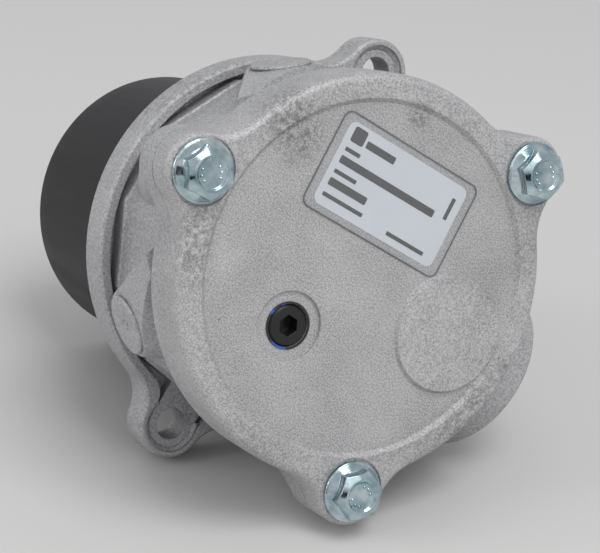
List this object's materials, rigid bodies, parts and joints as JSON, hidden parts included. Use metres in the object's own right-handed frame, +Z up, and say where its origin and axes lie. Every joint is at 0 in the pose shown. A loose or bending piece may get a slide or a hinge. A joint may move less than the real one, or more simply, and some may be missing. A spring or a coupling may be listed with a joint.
{
  "type": "hydraulic return line filter",
  "caption": "Tank-top return line filter: cast head with bolted lobed cover, side inlet port and two-bolt tank flange, over a hanging bowl with a pleated element and bypass valve.",
  "frame": {"origin": "centre of the tank flange's sealing face, the underside of the head, on the bowl's axis", "axes": "+Z up out of the tank through the cover; +X out of the inlet port; the two ears lie along Y"},
  "size_m": [0.1347, 0.1342, 0.1393],
  "materials": {
    "cast_aluminium": "shot-blasted casting, fine speckled satin",
    "zinc_steel": "bright zinc plate with a faint blue-green tint",
    "black_steel": "black oxide",
    "sealant": "cured blue thread sealant",
    "label_print": null,
    "clear_film": "clear protective film",
    "nitrile": "black nitrile rubber",
    "nylon": "charcoal glass-filled nylon",
    "cap_plastic": "dark moulded plastic",
    "media": "pleated cream filter media",
    "tinned_steel": "perforated tinned steel",
    "spring_steel": "drawn spring wire",
    "valve_steel": "pressed and turned steel"
  },
  "bodies": {
    "housing": {"head_casting": "cast_aluminium", "cover_casting": "cast_aluminium", "cover_screws": "zinc_steel", "vent_plug": "black_steel", "plug_sealant": "sealant", "label_plate": "label_print", "label_film": "clear_film", "cover_o_ring": "nitrile", "flange_o_ring": "nitrile", "bowl": "nylon", "bowl_o_ring": "nitrile", "element_top_cap": "cap_plastic", "element_bottom_cap": "cap_plastic", "element_media": "media", "element_core": "tinned_steel", "element_o_ring": "nitrile", "bypass_cage": "valve_steel", "hold_down_spring": "spring_steel", "bypass_spring": "spring_steel"},
    "valve": {"bypass_poppet": "valve_steel", "stem_clip": "valve_steel"}
  },
  "joints": [
    {"name": "bypass_lift", "type": "slide", "parent": "housing", "child": "valve", "axis": [0, 0, -1], "range_m": [0, 0.006], "stiffness_N_per_m": 4000, "deforming": ["bypass_spring"]}
  ]
}
